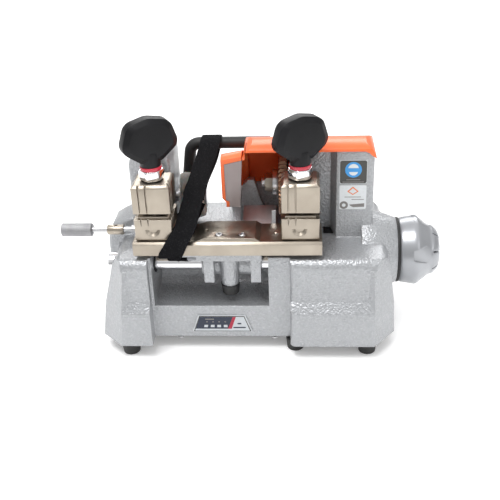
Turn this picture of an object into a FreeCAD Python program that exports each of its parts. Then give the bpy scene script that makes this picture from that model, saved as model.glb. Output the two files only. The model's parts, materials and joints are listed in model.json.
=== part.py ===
import FreeCAD, Part
import math
import os

os.makedirs("parts", exist_ok=True)

# Key duplicating machine, real size in millimetres.
# Origin: centre of the overall footprint at bench level. +X operator's right, +Y away, +Z up.

# ---- driving dimensions ----
RUN = 0.05                  # radial running clearance of a shaft in its hole

# base casting
FOOT_H = 12.0               # height of the rubber feet
BASE_TOP = 87.5             # deck level
SILL_TOP = 42.0             # floor of the chip cavity
CAVITY_X0 = -78.85
CAVITY_X1 = 16.15
CAVITY_Y1 = -2.5
SILL_Y = -47.5              # front face of the recessed sill
REAR_Y = 62.5

# carriage swing shaft
SHAFT_Y = -27.5
SHAFT_Z = 73.0
SHAFT_R = 6.5

# vices
JAW = 30.0                  # side of the square jaw
JAW_Y = -32.5               # centre line of both vices
JAW_XR = 42.15
JAW_XL = -73.51
SEAT_Z = 103.0              # top of the carriage plate
JAW_Z = 104.0               # underside of the lower jaw body
WING_TURN = 30.0

# cutter spindle
SPIN_Y = 17.5
SPIN_Z = 124.5
CUTTER_X = 24.15
CUTTER_W = 7.3
CUTTER_R = 29.0
PULLEY_R = 10.0            # spindle pulley

# motor behind the chip cavity
MOTOR_Y = 34.0
MOTOR_Z = 42.0
MOTOR_R = 20.0
DRIVE_R = 8.0               # motor and brush pulleys

# battery and its cap on the right
BATT_Y = 2.5
BATT_Z = 67.5
BATT_R = 21.0

# key stop (gauge) rod behind the carriage plate
ROD_Y = -14.5
ROD_Z = 96.6
ROD_R = 2.4

# carry handle
BAR_Y = 55.0
BAR_Z = 146.0
BAR_R = 3.2
LEG_X0 = -60.0
LEG_X1 = 30.0
BAR_X0 = -53.85            # top corner of the left leg

# nylon brush
BRUSH_X = -62.0
BRUSH_Y = 22.0
BRUSH_Z = 111.0
BRUSH_R = 20.0

X = FreeCAD.Vector(1, 0, 0)
Y = FreeCAD.Vector(0, 1, 0)
Z = FreeCAD.Vector(0, 0, 1)


def vec(x, y, z):
    return FreeCAD.Vector(x, y, z)


def block(x0, x1, y0, y1, z0, z1):
    return Part.makeBox(x1 - x0, y1 - y0, z1 - z0, vec(x0, y0, z0))


def rod(axis, centre, start, end, radius):
    """Cylinder along an axis; centre gives the two other coordinates."""
    if axis == "x":
        return Part.makeCylinder(radius, end - start, vec(start, centre[0], centre[1]), X)
    if axis == "y":
        return Part.makeCylinder(radius, end - start, vec(centre[0], start, centre[1]), Y)
    return Part.makeCylinder(radius, end - start, vec(centre[0], centre[1], start), Z)


def tube(axis, centre, start, end, outer, inner):
    return rod(axis, centre, start, end, outer).cut(rod(axis, centre, start - 1, end + 1, inner))


def cone(axis, centre, start, end, r0, r1):
    if axis == "x":
        return Part.makeCone(r0, r1, end - start, vec(start, centre[0], centre[1]), X)
    if axis == "y":
        return Part.makeCone(r0, r1, end - start, vec(centre[0], start, centre[1]), Y)
    return Part.makeCone(r0, r1, end - start, vec(centre[0], centre[1], start), Z)


def face_of(points):
    return Part.Face(Part.makePolygon(points + [points[0]]))


def prism_x(outline, x0, x1):
    """Extrude a (y, z) outline along X."""
    return face_of([vec(x0, y, z) for y, z in outline]).extrude(vec(x1 - x0, 0, 0))


def prism_y(outline, y0, y1):
    """Extrude an (x, z) outline along Y."""
    return face_of([vec(x, y0, z) for x, z in outline]).extrude(vec(0, y1 - y0, 0))


def prism_z(outline, z0, z1):
    """Extrude an (x, y) outline along Z."""
    return face_of([vec(x, y, z0) for x, y in outline]).extrude(vec(0, 0, z1 - z0))


def skin(low, z0, high, z1):
    """Straight-sided solid between two plan outlines with the same number of corners."""
    wires = []
    for outline, z in ((low, z0), (high, z1)):
        points = [vec(x, y, z) for x, y in outline]
        wires.append(Part.makePolygon(points + [points[0]]))
    return Part.makeLoft(wires, True, True)


def inset(outline, side, front, back):
    """Shrink a plan outline toward the middle of the machine."""
    result = []
    for x, y in outline:
        dx = -side if x > 0 else side
        dy = front if y < 0 else -back
        result.append((x + dx, y + dy))
    return result


def ring_of(centre, radius, count, start=0.0):
    points = []
    for i in range(count):
        a = math.radians(start + 360.0 * i / count)
        points.append((centre[0] + radius * math.cos(a), centre[1] + radius * math.sin(a)))
    return points


def spin(profile, axis, centre):
    """Turn an (along, radius) profile about an axis through centre."""
    if axis == "x":
        points = [vec(a, centre[0], centre[1] + r) for a, r in profile]
        return face_of(points).revolve(vec(0, centre[0], centre[1]), X, 360)
    points = [vec(centre[0] + r, centre[1], a) for a, r in profile]
    return face_of(points).revolve(vec(centre[0], centre[1], 0), Z, 360)


def edges_along(shape, axis, low, high):
    """Straight edges parallel to an axis whose middle lies inside a box."""
    found = []
    for edge in shape.Edges:
        if edge.Curve.TypeId != "Part::GeomLine":
            continue
        d = edge.Curve.Direction
        if abs(abs(d.dot(axis)) - 1) > 1e-6:
            continue
        c = edge.CenterOfMass
        inside = low[0] <= c.x <= high[0] and low[1] <= c.y <= high[1] and low[2] <= c.z <= high[2]
        if inside:
            found.append(edge)
    return found


def save(node, shape):
    shape = shape.removeSplitter() if len(shape.Solids) == 1 else shape
    shape.exportStep("parts/" + node + ".step")


def save_group(node, shapes):
    Part.makeCompound(shapes).exportStep("parts/" + node + ".step")


# ---------------------------------------------------------------- base casting
# Plan outlines of the casting at bench side, at the step and at deck level, counter-clockwise
# from the left front corner.
SKIRT = [(-107.0, -62.5), (102.0, -62.5), (120.15, -39.5), (120.15, 50.5), (108.0, REAR_Y),
         (-112.0, REAR_Y),
         (-125.6, 50.5), (-125.6, -44.5)]
STEP = [(-104.0, -62.5), (101.5, -62.5), (118.5, -40.5), (118.5, 50.5), (106.0, 62.0), (-109.0, 62.0),
        (-121.5, 50.0), (-121.5, -41.0)]
DECK = [(-99.5, -58.0), (99.8, -58.0), (112.5, -42.0), (112.5, 50.0), (103.0, 61.0), (-100.0, 61.0),
        (-109.5, 50.0), (-109.5, -42.0)]
STEP_Z = 43.0
FRONT_Y = -55.5             # set-back front face above the step
FEET = [(-101.5, -51.5), (37.5, -45.0), (97.0, -49.5), (-106.0, 46.0), (100.0, 46.0)]
GUARD_SCREWS = [(78.0, 128.0), (92.0, 128.0)]
COVER_SCREWS = [(-112.0, 0.0), (-30.0, 55.0), (60.0, 55.0), (108.0, 0.0), (-60.0, -43.0), (20.0, -43.0)]

# Side profile of the orange cover over cutter and drive column, outside and inside.
HOOD_OUT = [(-14.4, 163.6), (-14.2, 165.6), (-11.5, 167.6), (-4.0, 169.0), (5.0, 168.9), (15.0, 166.0),
            (28.0, 160.6),
            (38.0, 154.3), (46.0, 148.0), (49.5, 140.0), (49.5, 110.0)]
HOOD_IN = [(-12.6, 163.6), (-12.2, 164.4), (-10.6, 165.5), (-3.8, 166.8), (4.7, 166.7), (14.3, 163.9),
           (27.0, 158.6),
           (36.5, 152.7), (44.2, 146.8), (47.2, 139.5), (47.2, 110.0)]

# Front view of the rounded right end of the column, and of the cover's end over it.
SHOULDER = [(90.0, 190.0), (91.5, 166.8), (95.4, 165.4), (98.4, 162.8), (100.4, 159.2), (101.0, 155.4),
            (101.0, 60.0)]
CAP_END = [(87.0, 190.0), (89.0, 170.0), (94.6, 168.2), (98.8, 165.0), (101.6, 160.6), (102.4, 156.0),
           (102.4, 60.0)]


def under(profile, x0, x1, low):
    """Everything below a side profile, down to a level."""
    return prism_x(profile + [(profile[-1][0], low), (profile[0][0], low)], x0, x1)


def front_pocket(x0, x1, lean, slope):
    """Shallow set-back of a front face above the sloping step; its outer end slopes toward the corner."""
    face = [(-76.5, 27.0), (FRONT_Y, 51.0), (FRONT_Y, 120.0), (-76.5, 120.0)]
    low = [(x0, -76.5), (x0, FRONT_Y), (x1, FRONT_Y), (x1 + slope, -76.5)]
    high = [(x0, -76.5), (x0, FRONT_Y), (x1 + lean, FRONT_Y), (x1 + lean + slope, -76.5)]
    return prism_x(face, min(x0, x1) - 30, max(x0, x1) + 30).common(skin(low, 27.0, high, 120.0))


def edge_round(along, at, z, radius, low, high):
    """Tool that rounds a long top edge: along x at a y position, or along y at an x position."""
    inward = 1 if at < 0 else -1
    c = at + inward * radius
    a, b = sorted((c, at - inward * 25.0))
    if along == "x":
        return block(low, high, a, b, z - radius,
                     z + 20).cut(rod("x", (c, z - radius), low - 1, high + 1, radius))
    return block(a, b, low, high, z - radius,
                 z + 20).cut(rod("y", (c, z - radius), low - 1, high + 1, radius))


def base_casting():
    body = skin(SKIRT, FOOT_H, STEP, STEP_Z).fuse(skin(STEP, STEP_Z, DECK, BASE_TOP))
    body = body.cut(front_pocket(20.0, 95.0, 3.2, 21.0))
    body = body.cut(front_pocket(-70.0, -98.0, 1.6, -21.0))
    body = body.cut(edge_round("x", FRONT_Y, BASE_TOP, 8.0, -130.0, 130.0))
    body = body.cut(edge_round("y", -109.5, BASE_TOP, 7.0, -70.0, 70.0))
    body = body.cut(edge_round("y", 112.5, BASE_TOP, 7.0, -70.0, 70.0))
    body = body.cut(edge_round("x", 61.0, BASE_TOP, 6.0, -130.0, 130.0))
    # recess between the two front pylons, and the chip cavity behind it
    recess = block(-80.85, 33.5, -70.0, SILL_Y, 0.0, 120.0)
    body = body.cut(recess)
    corner = block(33.4, 38.5, -63.0, -57.5, 0.0,
                   STEP_Z + 1.0).cut(rod("z", (38.5, -57.5), -1.0, 60.0, 5.0))
    body = body.cut(corner)
    corner = block(33.4, 38.5, -63.0, FRONT_Y + 5.0, STEP_Z,
                   120.0).cut(rod("z", (38.5, FRONT_Y + 5.0), 40.0, 121.0, 5.0))
    body = body.cut(corner.cut(block(30.0, 40.0, -70.0, -50.0, 40.0, 51.0)))
    cavity = block(CAVITY_X0, CAVITY_X1, -60.0, CAVITY_Y1, SILL_TOP, 120.0)
    sweep = block(CAVITY_X0 - 1, CAVITY_X1 + 1, CAVITY_Y1 - 14.0, CAVITY_Y1 + 1, SILL_TOP - 1,
                  SILL_TOP + 14.0)
    sweep = sweep.cut(rod("x", (CAVITY_Y1 - 14.0, SILL_TOP + 14.0), -90.0, 30.0, 14.0))
    body = body.cut(cavity.cut(sweep))
    # rounded housing at the left end
    end = [(-95.0, 50.0), (-114.0, 52.0), (-120.6, 58.0), (-122.4, 68.0), (-122.4, 78.0),
           (-121.4, 88.0), (-118.6, 93.5),
           (-112.0, 97.5), (-103.0, 101.8), (-95.0, 103.5)]
    end = prism_y(end, -5.0, 27.0)
    near = [e for e in end.Edges if abs(e.CenterOfMass.y + 5.0) < 0.01 and e.CenterOfMass.x < -100.0]
    body = body.fuse(end.makeFillet(3.0, near[1:-1]))
    # tracer tower with an arched top
    arch = rod("y", (-82.35, 144.5), 2.5, 50.0, 17.5)
    body = body.fuse(block(-99.85, -64.85, 2.5, 50.0, 80.0, 144.5).fuse(arch))
    # drive column with a rounded top corner, and the spindle housing beside it
    plan = [(71.15, -12.5), (101.0, -12.5), (101.0, 47.1), (66.95, 47.1), (66.95, 2.5)]
    column = prism_z(plan, 80.0, 170.0).fuse(block(34.6, 67.5, 2.5, 47.1, 80.0, 170.0))
    column = column.common(under(HOOD_IN, 30.0, 110.0, 60.0))
    column = column.common(prism_y([(30.0, 60.0), (30.0, 190.0)] + SHOULDER, -20.0, 60.0))
    body = body.fuse(column)
    # chip fender behind the cutter's left side
    fender = [(-10.8, 80.0), (-8.0, 116.0), (-6.4, 122.0), (-2.5, 125.6), (2.6, 126.0), (5.0, 119.0),
              (8.0, 107.0), (13.0, 95.0),
              (17.0, 80.0)]
    body = body.fuse(prism_y(fender, 19.0, 26.0))
    body = body.fuse(block(-20.0, 40.0, 47.3, 49.5, 80.0, 111.9))
    # barrel-shaped battery boss
    barrel = [(92.0, 0), (92.0, 34.0), (99.0, 34.4), (106.0, 33.2), (113.0, 31.0), (118.5, 28.9),
              (121.9, 27.6), (121.9, 0)]
    body = body.fuse(spin(barrel, "x", (BATT_Y, BATT_Z)))
    body = body.removeSplitter()
    # hollow underside, closed by the cover plate
    body = body.cut(block(-99.0, -84.5, -54.0, 55.0, 0.0, 60.0))
    body = body.cut(block(-84.6, 41.0, -43.0, 57.0, 0.0, 37.0))
    body = body.cut(block(40.9, 96.0, -50.0, 57.0, 0.0, 41.0))
    # motor room behind the cavity
    body = body.cut(block(-84.6, 58.0, 5.0, 57.0, 30.0, 72.0))
    # belt slots up to the brush shaft and up to the spindle
    body = body.cut(block(-79.0, -68.5, 11.0, 47.0, 70.0, 122.5))
    body = body.cut(block(44.0, 56.0, 5.5, 41.0, 70.0, 137.0))
    # hollow drive column and battery bore
    body = body.cut(block(75.0, 95.0, 3.0, 36.0, 96.0, 152.0))
    body = body.cut(rod("x", (BATT_Y, BATT_Z), 61.0, 130.0, BATT_R + 0.6))
    # bush seats of the carriage shaft
    body = body.cut(rod("x", (SHAFT_Y, SHAFT_Z), -130.0, CAVITY_X0 + 1, SHAFT_R + 2.0))
    body = body.cut(rod("x", (SHAFT_Y, SHAFT_Z), CAVITY_X1 - 1, 45.0, SHAFT_R + 2.0))
    # spindle bore and bearing seats
    body = body.cut(rod("x", (SPIN_Y, SPIN_Z), 30.0, 66.0, 7.0))
    body = body.cut(rod("x", (SPIN_Y, SPIN_Z), 34.0, 42.0, 11.0))
    body = body.cut(rod("x", (SPIN_Y, SPIN_Z), 57.0, 65.0, 11.0))
    # bores of the tracer, the brush shaft, the handle feet and the rear sockets
    body = body.cut(rod("y", (-87.85, SPIN_Z), 0.0, 60.0, 7.0))
    body = body.cut(rod("x", (BRUSH_Y, BRUSH_Z), -69.0, -60.0, 3.0 + RUN))
    for x in (LEG_X0, LEG_X1):
        body = body.cut(rod("z", (x, BAR_Y), 74.0, 100.0, BAR_R))
    body = body.cut(block(-14.0, 14.0, 50.0, 70.0, 58.0, 70.0))
    body = body.cut(rod("y", (-40.0, 64.0), 50.0, 70.0, 5.0))
    for x, z in GUARD_SCREWS:
        body = body.cut(rod("y", (x, z), 39.0, 50.0, 1.55))
    # blind holes for the feet
    for x, y in FEET:
        body = body.cut(rod("z", (x, y), 0.0, FOOT_H + 6.0, 2.0))
    return body


def base_finished():
    """Round the long outer corners of the casting."""
    body = base_casting()
    upright = []
    upright += edges_along(body, Z, (-120, 1.0, 95), (-60, 4.0, 165))
    upright += edges_along(body, Z, (100, -14, 90), (102, -12, 165))
    return body.makeFillet(3.0, upright)


casting = base_finished()
save("base_casting", casting)

# Sheet-metal cover screwed under the casting, inside its outline.
cover_plan = inset(SKIRT, 3.0, 3.0, 3.0)
cover = prism_z(cover_plan, FOOT_H - 1.5, FOOT_H - 0.1)
cover = cover.cut(block(-82.85, 35.5, -70.0, SILL_Y + 2.0, 0.0, 20.0))
for x, y in FEET + COVER_SCREWS:
    cover = cover.cut(rod("z", (x, y), 5.0, 20.0, 2.1))
save("bottom_cover", cover)

feet = []
for x, y in FEET:
    foot = cone("z", (x, y), 0.0, FOOT_H - 1.6, 7.0, 8.0)
    foot = foot.makeFillet(1.0, [foot.Edges[2]])
    foot = foot.fuse(rod("z", (x, y), FOOT_H - 2.0, FOOT_H + 5.0, 1.9))
    feet.append(foot)
save_group("rubber_feet", feet)

screws = []
for x, y in COVER_SCREWS:
    head = cone("z", (x, y), FOOT_H - 3.6, FOOT_H - 1.6, 2.6, 3.4)
    head = head.cut(block(x - 4, x + 4, y - 0.5, y + 0.5, FOOT_H - 4, FOOT_H - 2.8))
    screws.append(head.fuse(rod("z", (x, y), FOOT_H - 2.0, FOOT_H - 0.3, 1.9)))
save_group("cover_screws", screws)

# ---------------------------------------------------------------- front panel and stickers
panel = prism_y([(-49.0, 17.0), (1.8, 17.0), (-3.9, 33.2), (-43.3, 33.2)], SILL_Y - 0.9, SILL_Y - 0.02)
save("level_panel", panel.makeFillet(1.2, edges_along(panel, Y, (-50, -50, 10), (5, -40, 40))))

stickers = []
for z0, z1 in ((135.7, 156.0), (113.0, 134.5)):
    sheet = block(73.2, 95.2, -12.9, -12.52, z0, z1)
    stickers.append(sheet.makeFillet(1.5, edges_along(sheet, Y, (70, -14, 100), (100, -12, 160))))
save_group("column_stickers", stickers)

# ---------------------------------------------------------------- carriage shaft and carriage
shaft = rod("x", (SHAFT_Y, SHAFT_Z), -111.9, 42.0, SHAFT_R)
shaft = shaft.cut(rod("x", (SHAFT_Y, SHAFT_Z), -114.0, -104.0, 2.5))
save("carriage_shaft", shaft)

end_cap = spin([(-117.4, 7.0), (-116.6, 8.42), (-107.0, 8.42), (-107.0, SHAFT_R), (-112.0, SHAFT_R),
                (-112.0, 3.6),
                (-117.4, 4.6)], "x", (SHAFT_Y, SHAFT_Z))
save("shaft_end_cap", end_cap)

bushes = [tube("x", (SHAFT_Y, SHAFT_Z), -104.5, CAVITY_X0 + 0.95, SHAFT_R + 2.0, SHAFT_R + RUN),
          tube("x", (SHAFT_Y, SHAFT_Z), CAVITY_X1 + 0.4, 44.0, SHAFT_R + 2.0, SHAFT_R + RUN)]
save_group("shaft_bushes", bushes)

TUBE_X0 = -38.85
TUBE_X1 = 10.15


def carriage_casting():
    body = rod("x", (SHAFT_Y, SHAFT_Z), TUBE_X0, TUBE_X1, 10.5)
    body = body.fuse(block(-52.85, 11.0, -47.5, -20.0, 84.4,
                           91.7).cut(block(-53, -41.5, -60, 0, 80, 88.2)))
    body = body.fuse(block(TUBE_X0 + 2, TUBE_X1, -36.0, -20.0, 72.0, 86.0))
    for x in (-35.85, 2.15):
        leg = block(x, x + 8.0, -47.5, -30.0, 64.0, 86.0)
        leg = leg.makeFillet(1.5, edges_along(leg, X, (-50, -50, 60), (20, 0, 70)))
        body = body.fuse(leg)
    # tapered boss that carries the stop bumper
    body = body.fuse(cone("z", (-15.85, JAW_Y - 4.0), 58.5, 88.0, 7.0, 9.0))
    body = body.cut(rod("x", (SHAFT_Y, SHAFT_Z), -60.0, 30.0, SHAFT_R + RUN))
    body = body.cut(rod("z", (-15.85, JAW_Y - 4.0), 50.0, 64.0, 2.5))
    # holes under the plate screws
    for x in (-22.35, -3.85):
        body = body.cut(rod("z", (x, -41.5), 84.0, 95.0, 1.5))
    return body


save("carriage_casting", carriage_casting())

bumper = cone("z", (-15.85, JAW_Y - 4.0), 49.0, 58.4, 6.6, 7.8)
bumper = bumper.makeFillet(1.5, [bumper.Edges[2]])
save("carriage_bumper", bumper.fuse(rod("z", (-15.85, JAW_Y - 4.0), 58.0, 63.0, 2.4)))

PLATE_X0 = -90.85
PLATE_X1 = 59.15
PLATE_Y0 = -51.5
PLATE_Y1 = -17.5


def carriage_plate():
    section = [(PLATE_Y0, 91.75), (PLATE_Y1, 91.75), (PLATE_Y1, SEAT_Z), (PLATE_Y0 + 2.0, SEAT_Z),
               (PLATE_Y0, SEAT_Z - 2.0)]
    body = prism_x(section, PLATE_X0, PLATE_X1)
    pad = [(-40.85, SEAT_Z), (10.15, SEAT_Z), (6.15, SEAT_Z + 2.5), (-33.85, SEAT_Z + 2.5)]
    body = body.fuse(prism_y(pad, PLATE_Y0 + 3.0, PLATE_Y1))
    for x in (JAW_XL, JAW_XR):
        body = body.cut(rod("z", (x, JAW_Y), 80.0, 110.0, 6.0 + RUN))
    # counterbored screw holes and shallow dimples
    for x in (-22.35, -3.85):
        body = body.cut(rod("z", (x, -41.5), 80.0, 110.0, 1.6))
        body = body.cut(rod("z", (x, -41.5), SEAT_Z + 0.7, 110.0, 3.3))
    for x in (-33.0, 22.0):
        body = body.cut(cone("z", (x, -34.5), SEAT_Z - 1.2, SEAT_Z + 0.01, 0.4, 1.6))
        body = body.cut(rod("z", (x, -34.5), SEAT_Z, 110.0, 1.6))
    # shallow groove along the rear edge that holds the stop rod
    body = body.cut(rod("x", (ROD_Y, ROD_Z), -130.0, 80.0, ROD_R + 1.6))
    return body


save("carriage_plate", carriage_plate())

plate_screws = []
for x in (-22.35, -3.85):
    head = rod("z", (x, -41.5), SEAT_Z + 0.72, SEAT_Z + 3.1, 3.1)
    head = head.makeChamfer(0.4, [head.Edges[0]])
    head = head.cut(prism_z(ring_of((x, -41.5), 1.7, 6), SEAT_Z + 1.8, SEAT_Z + 5))
    plate_screws.append(head.fuse(rod("z", (x, -41.5), 85.0, SEAT_Z + 1.0, 1.45)))
save_group("plate_screws", plate_screws)

# ---------------------------------------------------------------- vices


def four_sides(shape, centre):
    """A shape and its copies at 90, 180 and 270 degrees about a vice's axis."""
    result = []
    for i in range(4):
        piece = shape.copy()
        piece.rotate(vec(centre, JAW_Y, 0), Z, 90 * i)
        result.append(piece)
    return result


def jaw_block(x, z0, z1):
    h = JAW / 2
    body = block(x - h, x + h, JAW_Y - h, JAW_Y + h, z0, z1)
    return body.makeChamfer(0.8, edges_along(body, Z, (x - 20, -60, z0), (x + 20, 0, z1)))


def lower_jaw(x):
    h = JAW / 2
    body = jaw_block(x, JAW_Z, JAW_Z + 19.0)
    front = JAW_Y - h
    cuts = []
    # two tapering slots under each slit, and a half-moon pocket in the middle
    for dx in (-9.3, -3.6):
        outline = [(x + dx - 0.9, JAW_Z + 20), (x + dx + 0.9, JAW_Z + 20), (x + dx, JAW_Z + 11.5)]
        slot = prism_y(outline, front - 1, front + 1.6)
        cuts.append(slot)
    half_moon = cone("y", (x - 0.6, JAW_Z + 9.0), front - 0.01, front + 2.4, 6.2, 3.6)
    cuts.append(half_moon.common(block(x - 10, x + 10, front - 1, front + 3, JAW_Z, JAW_Z + 9.0)))
    # stepped shoulder along the key seat
    cuts.append(block(x - 20, x + 20, front - 1, front + 3.0, JAW_Z + 17.6, JAW_Z + 20))
    for cut in cuts:
        for piece in four_sides(cut, x):
            body = body.cut(piece)
    # turning spigot and its shoulder
    body = body.fuse(rod("z", (x, JAW_Y), SEAT_Z + 0.02, JAW_Z, 13.0))
    body = body.fuse(rod("z", (x, JAW_Y), 92.0, JAW_Z, 6.0))
    return body.cut(rod("z", (x, JAW_Y), 91.0, 140.0, 4.0))


def upper_jaw(x):
    h = JAW / 2
    z0 = JAW_Z + 21.3
    z1 = JAW_Z + 46.2
    body = jaw_block(x, z0, z1)
    front = JAW_Y - h
    for dx in (-9.3, -3.6):
        slit = block(x + dx - 0.6, x + dx + 0.6, front - 1, front + 2.6, z0 - 1, z1 + 1)
        for piece in four_sides(slit, x):
            body = body.cut(piece)
    bevel = prism_x([(front - 1, z1 - 3.2), (front - 1, z1 + 1), (front + 3.2, z1 + 1)], x - 25, x + 25)
    for piece in four_sides(bevel, x):
        body = body.cut(piece)
    # gripping lip left standing between two relief steps
    step = block(x - 20, x + 20, front - 1, front + 3.0, z0 - 1, z0 + 1.4)
    for piece in four_sides(step, x):
        body = body.cut(piece)
    return body.cut(rod("z", (x, JAW_Y), z0 - 1, z1 + 1, 4.3))


def clamp_nut(x):
    nut = prism_z(ring_of((x, JAW_Y), 10.0, 6, 12.0), 151.3, 159.0)
    nut = nut.common(cone("z", (x, JAW_Y), 151.3, 170.0, 9.2, 14.0))
    nut = nut.common(cone("z", (x, JAW_Y), 140.0, 159.0, 20.0, 9.0))
    return nut.cut(rod("z", (x, JAW_Y), 150.0, 160.0, 4.0 + RUN))


def rounded(outline, radius, steps):
    """Replace each corner of a convex or gently waisted outline by a short arc of chords."""
    result = []
    count = len(outline)
    for i in range(count):
        p = FreeCAD.Vector(outline[i - 1][0], outline[i - 1][1], 0)
        c = FreeCAD.Vector(outline[i][0], outline[i][1], 0)
        n = FreeCAD.Vector(outline[(i + 1) % count][0], outline[(i + 1) % count][1], 0)
        a = c + (p - c).normalize() * min(radius, (p - c).Length * 0.45)
        b = c + (n - c).normalize() * min(radius, (n - c).Length * 0.45)
        for k in range(steps + 1):
            t = k / steps
            q = a * (1 - t) ** 2 + c * 2 * t * (1 - t) + b * t ** 2
            result.append((q.x, q.y))
    return result


WING = [(8.2, 3.5), (21.0, 13.4), (22.6, 18.6), (18.2, 32.2), (14.0, 35.8), (0.0, 38.8),
        (-14.0, 35.8), (-18.2, 32.2), (-22.6, 18.6), (-21.0, 13.4), (-8.2, 3.5)]


def wing(x):
    """Two-lobed grip: a thick middle slab, bevelled toward a smaller flat face on each side."""
    outline = rounded(WING, 2.4, 2)
    z0 = 162.05
    full = [(x + u, z0 + w) for u, w in outline]
    face = [(x + 0.80 * u, z0 + 22.0 + 0.78 * (w - 22.0)) for u, w in outline]
    body = prism_y(full, JAW_Y - 4.4, JAW_Y + 4.4)
    for side in (-1, 1):
        wires = []
        for points, y in ((full, JAW_Y + side * 4.4), (face, JAW_Y + side * 7.5)):
            loop = [vec(u, y, w) for u, w in points]
            wires.append(Part.makePolygon(loop + [loop[0]]))
        body = body.fuse(Part.makeLoft(wires, True, True))
    body = body.fuse(rod("z", (x, JAW_Y), z0, z0 + 11.0, 8.2))
    body = body.cut(rod("z", (x, JAW_Y), z0 - 1, z0 + 14.0, 4.0 + RUN))
    body.rotate(vec(x, JAW_Y, 0), Z, WING_TURN)
    return body


for side, x in (("left", JAW_XL), ("right", JAW_XR)):
    save(side + "_lower_jaw", lower_jaw(x))
    save(side + "_clamp_stud", rod("z", (x, JAW_Y), 92.0, 174.0, 4.0))
    save(side + "_upper_jaw", upper_jaw(x))
    save(side + "_clamp_washer", tube("z", (x, JAW_Y), 150.25, 151.25, 8.5, 4.3))
    save(side + "_clamp_nut", clamp_nut(x))
    save(side + "_clamp_ring", tube("z", (x, JAW_Y), 159.05, 162.0, 8.6, 4.3))
    save(side + "_clamp_wing", wing(x))

# ---------------------------------------------------------------- key stop rod
save("stop_rod", rod("x", (ROD_Y, ROD_Z), -135.0, 40.0, ROD_R))
knob = spin([(-157.85, 0), (-157.85, 4.9), (-157.0, 5.75), (-132.6, 5.75), (-131.85, 5.0), (-131.85, 0)],
            "x", (ROD_Y, ROD_Z))
knob = knob.cut(rod("x", (ROD_Y, ROD_Z), -135.0, -130.0, ROD_R))
save("stop_knob", knob.cut(rod("x", (ROD_Y, ROD_Z), -158.0, -156.6, 2.4)))
collar = tube("x", (ROD_Y, ROD_Z), -118.85, -105.25, 4.15, ROD_R)
collar = collar.cut(rod("z", (-112.0, ROD_Y), ROD_Z + 1.0, ROD_Z + 6.0, 1.3))
save("stop_collar", collar)


def stop_finger(x):
    body = tube("x", (ROD_Y, ROD_Z), x - 3.0, x + 3.0, 3.8, ROD_R)
    blade = [(ROD_Y - 0.3, ROD_Z + 3.2), (ROD_Y + 3.4, ROD_Z + 2.0), (ROD_Y + 6.0, 110.5),
             (ROD_Y + 4.6, 111.0)]
    return body.fuse(prism_x(blade, x - 1.6, x + 1.6))


save_group("stop_fingers", [stop_finger(-95.5), stop_finger(20.15)])

# ---------------------------------------------------------------- cutter spindle and drive
spindle = rod("x", (SPIN_Y, SPIN_Z), 9.15, 31.6, 4.0)
spindle = spindle.fuse(rod("x", (SPIN_Y, SPIN_Z), 31.6, 34.3, 8.0))
spindle = spindle.fuse(rod("x", (SPIN_Y, SPIN_Z), 34.0, 65.0, 5.5))
spindle = spindle.makeChamfer(0.6, [e for e in spindle.Edges if abs(e.CenterOfMass.x - 9.15) < 0.01])
save("cutter_spindle", spindle)


def cutter():
    """Slotting wheel with fine side-to-side teeth round the rim."""
    count = 48
    outline = []
    for i in range(count):
        a = 2 * math.pi * i / count
        b = a + 0.62 * 2 * math.pi / count
        outline.append((SPIN_Y + CUTTER_R * math.cos(a), SPIN_Z + CUTTER_R * math.sin(a)))
        outline.append((SPIN_Y + (CUTTER_R - 1.6) * math.cos(b), SPIN_Z + (CUTTER_R - 1.6) * math.sin(b)))
    body = prism_x(outline, CUTTER_X, CUTTER_X + CUTTER_W)
    lens = spin([(CUTTER_X - 0.1, 0), (CUTTER_X - 0.1, 27.2), (CUTTER_X + 2.3, 29.5),
                 (CUTTER_X + CUTTER_W - 2.3, 29.5),
                 (CUTTER_X + CUTTER_W + 0.1, 27.2), (CUTTER_X + CUTTER_W + 0.1, 0)], "x",
                 (SPIN_Y, SPIN_Z))
    body = body.common(lens)
    body = body.cut(tube("x", (SPIN_Y, SPIN_Z), CUTTER_X - 1, CUTTER_X + 1.2, 23.0, 13.0))
    return body.cut(rod("x", (SPIN_Y, SPIN_Z), 20, 40, 4.0))


save("cutter", cutter())
save("cutter_washer", tube("x", (SPIN_Y, SPIN_Z), 18.9, CUTTER_X - 0.01, 11.0, 4.0))
nut = prism_x(ring_of((SPIN_Y, SPIN_Z), 8.0, 6, 12.0), 12.2, 18.85)
nut = nut.common(cone("x", (SPIN_Y, SPIN_Z), 12.2, 22.0, 7.2, 12.0))
save("cutter_nut", nut.cut(rod("x", (SPIN_Y, SPIN_Z), 5, 25, 4.0)))


def bearing(x0, x1, outer, inner):
    body = tube("x", (SPIN_Y, SPIN_Z), x0, x1, outer, inner)
    groove = (outer + inner) / 2
    body = body.cut(tube("x", (SPIN_Y, SPIN_Z), x0 - 1, x0 + 0.5, groove + 1.6, groove - 1.6))
    return body.cut(tube("x", (SPIN_Y, SPIN_Z), x1 - 0.5, x1 + 1, groove + 1.6, groove - 1.6))


save_group("spindle_bearings", [bearing(34.8, 41.8, 10.98, 5.5 + RUN), bearing(57.2, 64.2, 10.98,
                                                                               5.5 + RUN)])


def pulley(centre, x0, x1, outer, bore):
    profile = [(x0, bore), (x0, outer + 1.2), (x0 + 0.8, outer + 1.2), (x0 + 1.0, outer),
               (x1 - 1.0, outer),
               (x1 - 0.8, outer + 1.2), (x1, outer + 1.2), (x1, bore)]
    return spin(profile, "x", centre)


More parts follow.
